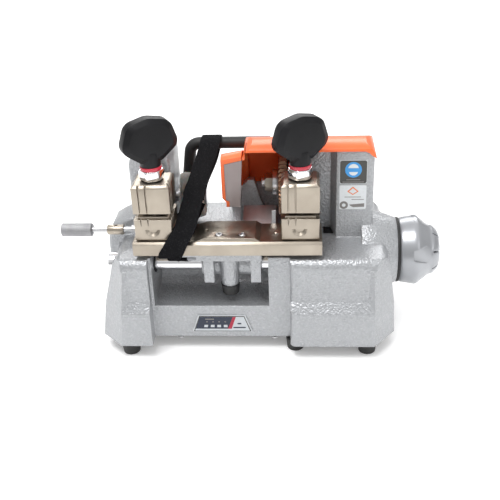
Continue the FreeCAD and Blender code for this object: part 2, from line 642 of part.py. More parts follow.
def belt(c0, r0, c1, r1, x0, x1):
    """Flat belt in two straight runs round two pulleys, held just clear of them."""
    bands = []
    for grow in (1.6, 0.25):
        dy = c1[0] - c0[0]
        dz = c1[1] - c0[1]
        length = math.hypot(dy, dz)
        heading = math.atan2(dz, dy)
        lean = math.acos((r0 - r1) / length)
        ends = []
        for sign in (1, -1):
            a = heading + sign * lean
            ends.append(((c0[0] + (r0 + grow) * math.cos(a), c0[1] + (r0 + grow) * math.sin(a)),
                         (c1[0] + (r1 + grow) * math.cos(a), c1[1] + (r1 + grow) * math.sin(a))))
        (p0, p1), (q0, q1) = ends
        run = prism_x([p0, p1, q1, q0], x0, x1)
        run = run.fuse(rod("x", c0, x0, x1, r0 + grow))
        bands.append(run.fuse(rod("x", c1, x0, x1, r1 + grow)))
    return bands[0].cut(bands[1])


MOTOR = (MOTOR_Y, MOTOR_Z)
SPIN = (SPIN_Y, SPIN_Z)
BRUSH = (BRUSH_Y, BRUSH_Z)
save("spindle_pulley", pulley(SPIN, 45.4, 54.6, PULLEY_R, 5.5))
save("drive_belt", belt(MOTOR, DRIVE_R, SPIN, PULLEY_R, 46.9, 53.1))
save("brush_belt", belt(MOTOR, DRIVE_R, BRUSH, DRIVE_R, -76.6, -71.4))
rotor = rod("x", MOTOR, -80.0, 56.0, 3.0)
for x0, x1 in ((45.4, 54.6), (-78.0, -70.0)):
    rotor = rotor.fuse(pulley(MOTOR, x0, x1, DRIVE_R, 2.9))
save("motor_rotor", rotor)
motor = rod("x", MOTOR, -48.0, 34.0, MOTOR_R)
motor = motor.makeFillet(2.0, [motor.Edges[0], motor.Edges[2]])
motor = motor.fuse(rod("x", MOTOR, -53.0, 39.0, 7.0)).cut(rod("x", MOTOR, -90.0, 90.0, 3.0 + RUN))
save("motor", motor)

# ---------------------------------------------------------------- nylon brush
shaft = rod("x", BRUSH, -78.0, BRUSH_X + 24.0, 3.0)
shaft = shaft.fuse(pulley(BRUSH, -78.0, -70.0, DRIVE_R, 2.9))
shaft = shaft.fuse(rod("x", BRUSH, BRUSH_X - 2.6, BRUSH_X, 5.0))
save("brush_shaft", shaft.fuse(rod("x", BRUSH, BRUSH_X, BRUSH_X + 24.0, 8.0)))
save("brush_bristles", spin([(BRUSH_X + 1.0, 8.0), (BRUSH_X + 0.4, 14.0), (BRUSH_X + 2.0, BRUSH_R - 1),
                             (BRUSH_X + 5.0, BRUSH_R),
                             (BRUSH_X + 15.0, BRUSH_R), (BRUSH_X + 20.0, BRUSH_R - 2.5),
                             (BRUSH_X + 23.4, 14.0),
                             (BRUSH_X + 23.0, 8.0)], "x", BRUSH))

# ---------------------------------------------------------------- tracer
TX = -87.85
TRACER = (TX, SPIN_Z)
sleeve = tube("y", TRACER, -1.0, 44.0, 6.95, 4.0 + RUN).fuse(tube("y", TRACER, -1.0, 2.4, 9.5, 4.0 + RUN))
save("tracer_sleeve", sleeve)
tracer = rod("y", TRACER, -5.0, 46.0, 4.0)
nose = prism_z([(TX - 6.0, -3.6), (TX - 3.65, -9.5), (TX - 1.5, -11.5), (TX + 1.5, -11.5),
                (TX + 3.65, -9.5), (TX + 6.0, -3.6)],
               SPIN_Z - 6.0, SPIN_Z + 6.0)
save("tracer_point", tracer.fuse(nose))
ring = rod("y", TRACER, 52.0, 60.0, 10.5)
for point in ring_of(TRACER, 10.9, 18):
    ring = ring.cut(rod("y", point, 50.0, 62.0, 1.0))
ring = ring.fuse(rod("y", TRACER, 50.3, 52.0, 8.5)).fuse(rod("y", TRACER, 44.3, 50.3, 6.92))
save("tracer_ring", ring.cut(rod("y", TRACER, 40.0, 50.0, 4.0 + RUN)))

# ---------------------------------------------------------------- guard


LOBE = [(-7.5, 154.6), (-3.0, 156.6), (3.0, 156.2), (12.0, 152.6), (24.0, 145.6), (33.0, 136.5),
        (37.0, 126.0), (37.0, 110.0)]
LOBE_RISE = 3.4             # the lobe's roof climbs this much toward the hood
PANE = [(-19.2, 119.6), (-19.2, 151.0), (-4.6, 154.4), (-7.4, 113.5), (-16.2, 113.5), (-16.2, 118.4)]


def lobe_solid(wall, low):
    """Solid under the lobe's roof; wall shrinks it to the inside surface."""
    wires = []
    for x, rise in ((-22.0 + wall, 0.0), (-2.6, LOBE_RISE)):
        loop = []
        for y, z in LOBE[:-1]:
            dy = wall if y < 0 else -wall * 0.7
            loop.append(vec(x, y + dy, z + rise - wall * 0.8))
        loop.append(vec(x, LOBE[-1][0] - wall * 0.7, low))
        loop.append(vec(x, LOBE[0][0] + wall, low))
        wires.append(Part.makePolygon(loop + [loop[0]]))
    return Part.makeLoft(wires, True, True)


def guard():
    # hood over the cutter and cap over the drive column, one moulding with rounded ends
    outer_end = [(-4.85, 60.0), (-4.85, 151.0), (-4.4, 156.0), (-2.8, 161.2), (0.0, 165.4),
                 (3.6, 168.2), (8.0, 190.0)] + CAP_END
    inner_end = [(-2.65, 60.0), (-2.65, 151.0), (-2.2, 155.6), (-0.8, 160.2), (1.6, 163.8),
                 (4.6, 166.2), (9.0, 190.0)]
    inner_end += SHOULDER[:-2] + [(101.05, 155.4), (101.05, 60.0)]
    outer = under(HOOD_OUT, -20.0, 110.0, 60.0).common(prism_y(outer_end, -20.0, 60.0))
    inner = under(HOOD_IN, -20.0, 110.0, 60.0).common(prism_y(inner_end, -20.0, 60.0))
    hood = outer.cut(inner)
    # the front lip and the right end stop at the column's top edge, the back wall reaches lower
    lip = [(-2.0, 60.0), (-2.0, 163.6), (93.0, 163.6), (96.0, 162.4), (98.6, 160.0), (103.5, 156.6),
           (103.5, 60.0)]
    hood = hood.cut(prism_y(lip, -20.0, 10.0))
    hood = hood.cut(block(100.9, 110.0, -20.0, 60.0, 60.0, 156.6))
    hood = hood.cut(block(-30.0, 110.0, -20.0, 60.0, 60.0, 112.0))
    # left cheek of the hood, open into the window lobe
    hood = hood.cut(prism_x([(-20.0, 60.0), (-20.0, 163.4), (-14.2, 163.4), (-7.5, 158.4),
                             (-7.5, 60.0)], -10.0, -2.0))
    lobe = lobe_solid(0.0, 113.4).cut(lobe_solid(2.0, 90.0)).cut(block(-4.86, 10.0, -20.0, 60.0, 60.0,
                                                                       200.0))
    hood = hood.fuse(lobe).cut(lobe_solid(2.0, 90.0))
    corner = [(-23.0, 121.4), (-21.9, 121.4), (-18.9, 117.6), (-18.9, 100.0), (-23.0, 100.0)]
    hood = hood.cut(prism_y(corner, -10.0, 60.0))
    grown = [(-19.3, 119.5), (-19.3, 151.1), (-4.5, 154.5), (-2.0, 154.5), (-2.0, 100.0),
             (-16.3, 100.0), (-16.3, 118.3)]
    hood = hood.cut(prism_y(grown, -12.0, -5.0))
    for x, z in GUARD_SCREWS:
        hood = hood.cut(rod("y", (x, z), 40.0, 52.0, 1.7))
    return hood


save("guard", guard())
save("guard_window", prism_y(PANE, -7.7, -5.9))
guard_screws = []
for x, z in GUARD_SCREWS:
    head = rod("y", (x, z), 49.55, 51.5, 3.2).cut(rod("y", (x, z), 50.5, 52.0, 1.4))
    guard_screws.append(head.fuse(rod("y", (x, z), 40.0, 49.7, 1.5)))
save_group("guard_screws", guard_screws)

ramp = prism_x([(-8.0, 87.6), (-8.0, 89.8), (18.5, 102.6), (18.5, 100.3)], -6.85, 21.5)
save("chip_chute", ramp)

# ---------------------------------------------------------------- carry handle and strap


def swept_rod(points, radius, bend):
    """Round bar along a path of straight runs joined by bends."""
    edges = []
    previous = points[0]
    for i in range(1, len(points) - 1):
        corner = points[i]
        into = (corner - points[i - 1]).normalize()
        out = (points[i + 1] - corner).normalize()
        turn = math.acos(max(-1, min(1, into.dot(out))))
        back = bend * math.tan(turn / 2)
        a = corner - into * back
        b = corner + out * back
        middle = corner + (out - into).normalize() * (bend / math.cos(turn / 2) - bend)
        edges.append(Part.makeLine(previous, a))
        edges.append(Part.Arc(a, middle, b).toShape())
        previous = b
    edges.append(Part.makeLine(previous, points[-1]))
    path = Part.Wire(edges)
    start = (points[1] - points[0]).normalize()
    section = Part.Wire(Part.makeCircle(radius, points[0], start))
    return path.makePipeShell([section], True, False)


handle_path = [vec(LEG_X0, BAR_Y, 75.0), vec(LEG_X0, BAR_Y, 100.0), vec(BAR_X0, BAR_Y, BAR_Z),
               vec(LEG_X1, BAR_Y, BAR_Z),
               vec(LEG_X1, BAR_Y, 75.0)]
bar = swept_rod(handle_path, BAR_R, 9.0)
save("handle_bar", bar)
grip_path = [vec(LEG_X0 + 1.6, BAR_Y, 112.0), vec(BAR_X0, BAR_Y, BAR_Z), vec(24.0 - 8.0, BAR_Y, BAR_Z)]
grip_path[0] = vec(LEG_X0, BAR_Y, 100.0) + (vec(BAR_X0, BAR_Y, BAR_Z) - vec(LEG_X0, BAR_Y, 100.0)) * 0.3
grip = swept_rod(grip_path, 5.2, 9.0)
save("handle_grip", grip.cut(bar))
nuts = []
for x in (LEG_X0, LEG_X1):
    nut = prism_z(ring_of((x, BAR_Y), 5.6, 6), BASE_TOP + 0.05, BASE_TOP + 5.0)
    nuts.append(nut.cut(rod("z", (x, BAR_Y), 80.0, 99.0, BAR_R)))
save_group("handle_nuts", nuts)


def strap():
    """Closed loop of webbing over the handle and under the front of the carriage plate."""
    half = 7.5
    t = 1.5
    shapes = []

    def band(a, b, xa, xb, normal):
        """Straight run from a to b, given as (y, z), centred on xa then xb."""
        n = FreeCAD.Vector(0, normal[0], normal[1]).normalize() * t
        corners = []
        for (y, z), xc in ((a, xa), (b, xb)):
            for dx, off in ((-half, 0), (half, 0), (half, 1), (-half, 1)):
                corners.append(vec(xc + dx, y, z) + n * off)
        low = Part.makePolygon(corners[0:4] + [corners[0]])
        high = Part.makePolygon(corners[4:8] + [corners[4]])
        return Part.makeLoft([low, high], True, True)

    shapes.append(band((-54.6, 86.3), (-54.6, 106.0), -60.5, -52.0, (1, 0)))
    shapes.append(band((-54.6, 105.0), (-47.0, 113.0), -52.2, -49.9, (0.7, -0.7)))
    shapes.append(band((-48.0, 112.2), (49.5, 153.1), -50.0, -35.0, (0.39, -0.92)))
    shapes.append(band((48.5, 153.1), (62.1, 153.1), -35.2, -35.2, (0, -1)))
    shapes.append(band((62.1, 153.1), (62.1, 141.0), -35.2, -36.5, (-1, 0)))
    shapes.append(band((-54.6, 86.3), (-8.0, 86.3), -60.5, -60.5, (0, 1)))
    shapes.append(band((-8.0, 86.3), (-8.0, 127.6), -60.5, -44.6, (-1, 0)))
    body = shapes[0]
    for shape in shapes[1:]:
        body = body.fuse(shape)
    return body


save("transport_strap", strap())

# ---------------------------------------------------------------- battery, cap and rear sockets
BATT = (BATT_Y, BATT_Z)
save("socket_ring", tube("x", BATT, 121.95, 124.2, 27.6, BATT_R + 0.6))
pack = rod("x", BATT, 62.0, 124.0, BATT_R)
pack = pack.makeFillet(1.5, [pack.Edges[0], pack.Edges[2]])
save("battery_pack", pack.fuse(rod("x", BATT, 123.0, 128.0, 5.0)))


def battery_cap():
    profile = [(124.4, 0), (124.4, 26.8), (126.0, 27.6), (138.0, 29.6), (139.6, 29.0), (148.5, 22.2),
               (149.6, 21.4),
               (152.6, 20.6), (156.2, 17.4), (157.85, 14.0), (157.85, 0)]
    body = spin(profile, "x", BATT)
    # four tapering grip pockets
    ramp_cut = prism_y([(134.5, BATT_Z + 31), (134.8, BATT_Z + 27.8), (150.5, BATT_Z + 20.8),
                        (150.5, BATT_Z + 31)],
                       BATT_Y - 9, BATT_Y + 9)
    pocket = ramp_cut.common(prism_z([(134, BATT_Y - 4), (151, BATT_Y - 8.2), (151, BATT_Y + 8.2),
                                      (134, BATT_Y + 4)],
                                     BATT_Z + 15, BATT_Z + 35))
    for i in range(4):
        cut = pocket.copy()
        cut.rotate(vec(0, BATT_Y, BATT_Z), X, 73 + 90 * i)
        body = body.cut(cut)
    # slots between the raised segments of the hub
    for i in range(8):
        slot = block(151.5, 160.0, BATT_Y - 0.8, BATT_Y + 0.8, BATT_Z + 9.0, BATT_Z + 24.0)
        slot.rotate(vec(0, BATT_Y, BATT_Z), X, 45 * i + 23)
        body = body.cut(slot)
    body = body.cut(rod("x", BATT, 155.6, 160.0, 8.0))
    return body.cut(rod("x", BATT, 120.0, 128.5, 5.0 + RUN))


save("battery_cap", battery_cap())
save("switch_bezel", block(-13.9, 13.9, 56.0, 62.4, 58.1, 69.9).cut(block(-9.0, 9.0, 50.0, 70.0, 60.0,
                                                                          68.0)))
rocker = prism_z([(-8.6, 58.6), (8.6, 58.6), (8.6, 61.6), (0.0, 60.6), (-8.6, 61.6)], 60.3, 67.7)
save("power_rocker", rocker)
save("charge_socket", tube("y", (-40.0, 64.0), 53.0, 62.4, 4.95, 3.0).fuse(rod("y", (-40.0, 64.0), 53.0,
                                                                               60.0, 1.0)).fuse(
     rod("y", (-40.0, 64.0), 53.0, 54.0, 4.95)))
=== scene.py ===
import json
import math
import random

import bmesh
import bpy
from mathutils import Matrix, Vector


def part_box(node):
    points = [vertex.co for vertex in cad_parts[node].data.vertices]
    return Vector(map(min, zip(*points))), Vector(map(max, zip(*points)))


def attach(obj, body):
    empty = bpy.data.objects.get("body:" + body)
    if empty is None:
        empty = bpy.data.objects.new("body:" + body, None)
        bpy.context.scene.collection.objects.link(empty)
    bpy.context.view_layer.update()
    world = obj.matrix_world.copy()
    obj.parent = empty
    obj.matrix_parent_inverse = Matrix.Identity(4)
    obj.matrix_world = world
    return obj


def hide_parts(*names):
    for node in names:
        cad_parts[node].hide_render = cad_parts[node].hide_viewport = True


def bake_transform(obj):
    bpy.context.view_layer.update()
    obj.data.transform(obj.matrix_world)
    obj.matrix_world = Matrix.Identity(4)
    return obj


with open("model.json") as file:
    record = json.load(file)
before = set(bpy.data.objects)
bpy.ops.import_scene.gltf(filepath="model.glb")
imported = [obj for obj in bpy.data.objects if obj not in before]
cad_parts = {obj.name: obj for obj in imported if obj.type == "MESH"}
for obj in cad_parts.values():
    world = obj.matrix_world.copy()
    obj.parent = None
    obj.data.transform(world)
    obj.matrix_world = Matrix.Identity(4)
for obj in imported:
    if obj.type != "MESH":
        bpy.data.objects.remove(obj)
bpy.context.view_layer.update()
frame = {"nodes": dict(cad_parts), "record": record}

NODES = frame["nodes"]
MM = 0.001


# ------------------------------------------------------------------ material helpers
class Paint:
    """Builds one node material step by step. Texture scales are per metre, bump distances in metres."""

    def __init__(self, name):
        self.mat = bpy.data.materials.new(name)
        self.mat.use_nodes = True
        self.tree = self.mat.node_tree
        self.bsdf = self.tree.nodes["Principled BSDF"]
        self.coord = self.add("ShaderNodeTexCoord").outputs["Object"]

    def add(self, kind, **values):
        node = self.tree.nodes.new(kind)
        for key, value in values.items():
            if key in node.inputs:
                node.inputs[key].default_value = value
            else:
                setattr(node, key, value)
        return node

    def link(self, a, b):
        self.tree.links.new(a, b)

    def stretched(self, scale):
        node = self.add("ShaderNodeMapping")
        node.inputs["Scale"].default_value = scale
        self.link(self.coord, node.inputs["Vector"])
        return node.outputs["Vector"]

    def noise(self, scale, detail=3.0, stretch=None):
        node = self.add("ShaderNodeTexNoise", Scale=scale, Detail=detail)
        self.link(self.stretched(stretch) if stretch else self.coord, node.inputs["Vector"])
        return node.outputs["Fac"]

    def cells(self, scale, stretch=None, feature="F1"):
        node = self.add("ShaderNodeTexVoronoi", Scale=scale, feature=feature)
        self.link(self.stretched(stretch) if stretch else self.coord, node.inputs["Vector"])
        return node.outputs["Distance"]

    def remap(self, value, low, high, from_low=0.0, from_high=1.0):
        node = self.add("ShaderNodeMapRange")
        node.inputs["From Min"].default_value = from_low
        node.inputs["From Max"].default_value = from_high
        node.inputs["To Min"].default_value = low
        node.inputs["To Max"].default_value = high
        self.link(value, node.inputs["Value"])
        return node.outputs["Result"]

    def blend(self, factor, a, b):
        node = self.add("ShaderNodeMix", data_type="RGBA")
        self.link(factor, node.inputs["Factor"])
        for value, socket in ((a, node.inputs[6]), (b, node.inputs[7])):
            if isinstance(value, tuple):
                socket.default_value = value if len(value) == 4 else value + (1.0,)
            else:
                self.link(value, socket)
        return node.outputs[2]

    def math(self, operation, a, b):
        node = self.add("ShaderNodeMath", operation=operation)
        for value, socket in ((a, node.inputs[0]), (b, node.inputs[1])):
            if isinstance(value, (int, float)):
                socket.default_value = value
            else:
                self.link(value, socket)
        return node.outputs[0]

    def edge_highlight_wear(self, radius):
        """Rises toward 1 on edges, stays at 0 on flats; used to paint edges lighter, a painted highlight on
        rounded edges that also stands for wear.
        """
        bevel = self.add("ShaderNodeBevel", samples=4)
        bevel.inputs["Radius"].default_value = radius
        geo = self.add("ShaderNodeNewGeometry")
        dot = self.add("ShaderNodeVectorMath", operation="DOT_PRODUCT")
        self.link(bevel.outputs[0], dot.inputs[0])
        self.link(geo.outputs["Normal"], dot.inputs[1])
        return self.remap(dot.outputs["Value"], 1.0, 0.0, 0.75, 1.0)

    def bump(self, height, strength, distance, round_edges=0.0):
        node = self.add("ShaderNodeBump", Strength=strength, Distance=distance)
        self.link(height, node.inputs["Height"])
        if round_edges:
            bevel = self.add("ShaderNodeBevel", samples=6)
            bevel.inputs["Radius"].default_value = round_edges
            self.link(bevel.outputs[0], node.inputs["Normal"])
        self.link(node.outputs["Normal"], self.bsdf.inputs["Normal"])

    def set(self, **values):
        for key, value in values.items():
            socket = self.bsdf.inputs[key.replace("_", " ")]
            if hasattr(value, "is_output"):
                self.link(value, socket)
            elif isinstance(value, tuple):
                socket.default_value = value if len(value) == 4 else value + (1.0,)
            else:
                socket.default_value = value


def hammertone():
    p = Paint("hammertone")
    dimple = p.cells(760.0, feature="SMOOTH_F1")
    blotch = p.noise(420.0, 3.0)
    patch = p.noise(16.0, 2.0)
    height = p.math("ADD", dimple, p.math("MULTIPLY", blotch, 0.7))
    tone = p.blend(p.remap(blotch, 0.0, 1.0, 0.3, 0.7), (0.355, 0.365, 0.38), (0.425, 0.435, 0.45))
    tone = p.blend(p.remap(patch, 0.0, 0.22, 0.35, 0.75), tone, (0.41, 0.42, 0.435))
    tone = p.blend(p.remap(dimple, 0.0, 0.45, 0.45, 0.85), tone, (0.60, 0.61, 0.63))
    # rounded edges painted lighter: a painted highlight along the edges that also stands for wear
    highlit_worn_tone = p.blend(p.math("MULTIPLY", p.edge_highlight_wear(0.0009), 0.6), tone, (0.80, 0.81, 0.82))
    p.set(Base_Color=highlit_worn_tone, Metallic=0.5, Roughness=p.remap(blotch, 0.28, 0.42),
          Coat_Weight=0.25, Coat_Roughness=0.16)
    p.bump(height, 0.75, 0.0007, 0.0014)
    return p.mat


def brushed(name, low, high, rough, stretch, edge_highlight_wear_colour=(0.9, 0.88, 0.84)):
    p = Paint(name)
    grain = p.noise(900.0, 2.0, stretch)
    smudge = p.noise(45.0, 3.0)
    tone = p.blend(p.remap(smudge, 0.0, 1.0, 0.3, 0.7), low, high)
    # edges painted lighter: a painted highlight along the edges that also stands for wear
    tone = p.blend(p.math("MULTIPLY", p.edge_highlight_wear(0.0004), 0.5), tone, edge_highlight_wear_colour)
    p.set(Base_Color=tone, Metallic=1.0, Roughness=p.remap(grain, rough - 0.06, rough + 0.08))
    p.bump(grain, 0.10, 0.0002, 0.0004)
    return p.mat


def chrome():
    p = Paint("chrome")
    haze = p.noise(120.0, 3.0)
    p.set(Base_Color=(0.86, 0.86, 0.88), Metallic=1.0, Roughness=p.remap(haze, 0.05, 0.14))
    p.bump(haze, 0.03, 0.0003, 0.0005)
    return p.mat


def moulded(name, low, high, rough, grain_scale=900.0, strength=0.12, coat=0.0, sub=0.0, metal=0.0,
            shine=0.5):
    p = Paint(name)
    grain = p.noise(grain_scale, 3.0)
    patch = p.noise(24.0, 3.0)
    tone = p.blend(p.remap(patch, 0.0, 1.0, 0.3, 0.7), low, high)
    p.set(Base_Color=tone, Roughness=p.remap(grain, rough - 0.05, rough + 0.07),
          Coat_Weight=coat, Coat_Roughness=0.15, Specular_IOR_Level=shine)
    if metal:
        p.set(Metallic=metal)
    if sub:
        p.set(Subsurface_Weight=sub, Subsurface_Scale=0.004)
    p.bump(grain, strength, 0.0002, 0.0008)
    return p.mat


def smoked():
    p = Paint("smoke")
    haze = p.noise(60.0, 2.0)
    tone = p.blend(haze, (0.30, 0.25, 0.25), (0.40, 0.34, 0.33))
    p.set(Base_Color=tone, Roughness=p.remap(haze, 0.18, 0.30), Alpha=0.86, Specular_IOR_Level=0.6)
    p.bump(haze, 0.04, 0.0003)
    return p.mat


def webbing():
    p = Paint("webbing")
    fuzz = p.noise(2600.0, 4.0)
    uv = p.add("ShaderNodeUVMap")
    warp = p.add("ShaderNodeTexWave", Scale=340.0, Distortion=0.6, bands_direction="X")
    weft = p.add("ShaderNodeTexWave", Scale=340.0, Distortion=0.6, bands_direction="Y")
    p.link(uv.outputs[0], warp.inputs["Vector"])
    p.link(uv.outputs[0], weft.inputs["Vector"])
    weave = p.math("MULTIPLY", warp.outputs["Fac"], weft.outputs["Fac"])
    height = p.math("ADD", p.math("MULTIPLY", weave, 0.6), fuzz)
    speckle = p.remap(p.noise(1500.0, 3.0), 0.0, 1.0, 0.58, 0.80)
    tone = p.blend(p.math("MULTIPLY", height, 0.5), (0.004, 0.004, 0.0045), (0.016, 0.016, 0.018))
    tone = p.blend(speckle, tone, (0.06, 0.06, 0.063))
    p.set(Base_Color=tone, Roughness=0.95, Specular_IOR_Level=0.08)
    p.bump(height, 0.5, 0.0003)
    return p.mat


def bristle():
    p = Paint("bristle")
    streak = p.noise(500.0, 2.0)
    tone = p.blend(streak, (0.42, 0.42, 0.40), (0.70, 0.70, 0.67))
    p.set(Base_Color=tone, Roughness=0.5, Subsurface_Weight=0.2, Subsurface_Scale=0.002)
    p.bump(streak, 0.1, 0.0002)
    return p.mat


def printed(name, low, high, rough=0.35):
    p = Paint(name)
    mottle = p.noise(300.0, 3.0)
    p.set(Base_Color=p.blend(mottle, low, high), Roughness=p.remap(mottle, rough - 0.04, rough + 0.06),
          Coat_Weight=0.3, Coat_Roughness=0.2)
    p.bump(mottle, 0.03, 0.0002)
    return p.mat


# finish of each material slot of the record, and of the pieces made here
MATS = {
    "hammertone": hammertone(),
    "nickel": brushed("nickel", (0.36, 0.315, 0.26), (0.45, 0.40, 0.335), 0.34, (1.0, 12.0, 12.0),
                      (0.74, 0.70, 0.62)),
    "knob_nickel": brushed("knob_nickel", (0.26, 0.26, 0.27), (0.42, 0.42, 0.43), 0.34,
                           (12.0, 1.0, 1.0), (0.6, 0.6, 0.6)),
    "chrome": chrome(),
    "steel": brushed("steel", (0.48, 0.48, 0.49), (0.66, 0.66, 0.67), 0.28, (1.0, 9.0, 9.0)),
    "orange_plastic": moulded("orange_plastic", (0.90, 0.13, 0.03), (1.0, 0.19, 0.045), 0.38, 700.0,
                              0.10, 0.15, 0.05),
    "black_plastic": moulded("black_plastic", (0.006, 0.006, 0.007), (0.014, 0.014, 0.016), 0.42,
                             800.0, 0.15, shine=0.22),
    "red_ring": moulded("red_ring", (0.48, 0.02, 0.04), (0.60, 0.03, 0.06), 0.25, 400.0, 0.05, 0.4),
    "black_rubber": moulded("black_rubber", (0.008, 0.008, 0.008), (0.018, 0.018, 0.018), 0.55,
                            500.0, 0.3),
    "smoke": smoked(),
    "webbing": webbing(),
    "bristle": bristle(),
    "panel_print": printed("panel_print", (0.50, 0.52, 0.54), (0.60, 0.62, 0.64)),
    "sticker": printed("sticker", (0.52, 0.54, 0.55), (0.60, 0.62, 0.63)),
    "cutter_steel": brushed("cutter_steel", (0.20, 0.11, 0.07), (0.34, 0.20, 0.13), 0.34,
                            (1.0, 5.0, 5.0), (0.55, 0.48, 0.42)),
    "grey_cap": moulded("grey_cap", (0.34, 0.35, 0.37), (0.42, 0.43, 0.45), 0.30, 900.0, 0.08, 0.3,
                        metal=0.6),
    "sheet": brushed("sheet", (0.44, 0.43, 0.44), (0.56, 0.55, 0.56), 0.40, (3.0, 1.0, 1.0)),
    "dark_sheet": moulded("dark_sheet", (0.02, 0.02, 0.022), (0.035, 0.035, 0.038), 0.5, 500.0, 0.2),
}
SLOT_OF = {row["node"]: row["material_slot"] for row in frame["record"]["subparts"]}

# edge rounding of the CAD meshes: (width in mm, segments) -> nodes
ROUNDING_GROUPS = {
    (1.6, 3): ("base_casting",),
    (0.9, 3): ("carriage_casting",),
    (0.7, 2): ("guard",),
    (0.5, 2): ("carriage_plate", "battery_cap", "left_clamp_wing", "right_clamp_wing"),
    (0.4, 2): ("left_clamp_nut", "right_clamp_nut", "left_clamp_ring", "right_clamp_ring", "cutter_nut",
               "handle_nuts", "switch_bezel", "power_rocker"),
    (0.3, 2): ("guard_window", "stop_collar", "socket_ring", "cutter_washer", "tracer_sleeve"),
    (0.3, 1): ("bottom_cover", "tracer_ring", "chip_chute"),
    (0.25, 2): ("left_lower_jaw", "right_lower_jaw", "left_upper_jaw", "right_upper_jaw"),
    (0.2, 2): ("level_panel",),
}
ROUNDING = {name: size for size, names in ROUNDING_GROUPS.items() for name in names}
ROUND_ANGLE = math.radians(32)      # edges sharper than this are rounded
CREASE_ANGLE = math.radians(31)     # edges sharper than this keep a shading break

for name, node in NODES.items():
    node.data.materials.clear()
    node.data.materials.append(MATS[SLOT_OF[name]])
    weld = node.modifiers.new("weld", "WELD")
    weld.merge_threshold = 1e-6
    if name in ROUNDING:
        width, segments = ROUNDING[name]
        bevel = node.modifiers.new("round", "BEVEL")
        bevel.width = width * MM
        bevel.segments = segments
        bevel.limit_method = "ANGLE"
        bevel.angle_limit = ROUND_ANGLE
        bevel.harden_normals = False
    crease = node.modifiers.new("crease", "EDGE_SPLIT")
    crease.split_angle = CREASE_ANGLE
    for poly in node.data.polygons:
        poly.use_smooth = True
    if "custom_normal" in node.data.attributes:
        node.data.attributes.remove(node.data.attributes["custom_normal"])


# ------------------------------------------------------------------ piece helpers
def piece(name, bm, material, body, smooth_angle=None):
    mesh = bpy.data.meshes.new(name)
    bmesh.ops.recalc_face_normals(bm, faces=bm.faces)
    bm.to_mesh(mesh)
    bm.free()
    obj = bpy.data.objects.new(name, mesh)
    bpy.context.scene.collection.objects.link(obj)
    mesh.materials.append(MATS[material] if isinstance(material, str) else material)
    if smooth_angle is not None:
        for poly in mesh.polygons:
            poly.use_smooth = True
        mesh.set_sharp_from_angle(angle=math.radians(smooth_angle))
    if body:
        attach(obj, body)
    return obj


def plate_outline(bm, points, y_back, y_front):
    """Thin plate facing the operator from an (x, z) outline in metres."""
    back = [bm.verts.new((x, y_back, z)) for x, z in points]
    front = [bm.verts.new((x, y_front, z)) for x, z in points]
    count = len(points)
    bm.faces.new(back)
    bm.faces.new(list(reversed(front)))
    for i in range(count):
        j = (i + 1) % count
        bm.faces.new((back[i], front[i], front[j], back[j]))


def round_rect(x0, x1, z0, z1, r, steps=4):
    points = []
    for cx, cz, start in ((x1 - r, z1 - r, 0), (x0 + r, z1 - r, 90), (x0 + r, z0 + r, 180),
                          (x1 - r, z0 + r, 270)):
        for k in range(steps + 1):
            a = math.radians(start + 90.0 * k / steps)
            points.append((cx + r * math.cos(a), cz + r * math.sin(a)))
    return points


def disc(cx, cz, r, count=40):
    return [(cx + r * math.cos(2 * math.pi * i / count),
             cz + r * math.sin(2 * math.pi * i / count)) for i in range(count)]


def ink(name, colour, rough=0.4):
    p = Paint(name)
    mottle = p.noise(500.0, 2.0)
    low = tuple(0.85 * c for c in colour)
    p.set(Base_Color=p.blend(mottle, low, colour), Roughness=p.remap(mottle, rough - 0.05, rough + 0.05))
    p.bump(mottle, 0.02, 0.0002)
    return p.mat


INK_NAVY = ink("ink_navy", (0.022, 0.030, 0.055))
INK_RED = ink("ink_red", (0.42, 0.02, 0.05))
INK_PALE = ink("ink_pale", (0.60, 0.63, 0.66))
INK_DARK = ink("ink_dark", (0.06, 0.06, 0.055))
INK_BLUE = ink("ink_blue", (0.05, 0.33, 0.75))
INK_WHITE = ink("ink_white", (0.75, 0.78, 0.80))
INK_ORANGE = ink("ink_orange", (0.80, 0.25, 0.10))
INK_GREY = ink("ink_grey", (0.22, 0.21, 0.20))
FILM = 0.12 * MM        # thickness of one printed layer
SKIN = 0.01 * MM        # gap that keeps one layer off the next


def decal(name, outlines, face_y, layer, material):
    """Printed shapes lying on a face that looks toward the operator."""
    bm = bmesh.new()
    for points in outlines:
        plate_outline(bm, points, face_y - FILM * (layer - 1) - SKIN, face_y - FILM * layer)
    return piece(name, bm, material, "base")


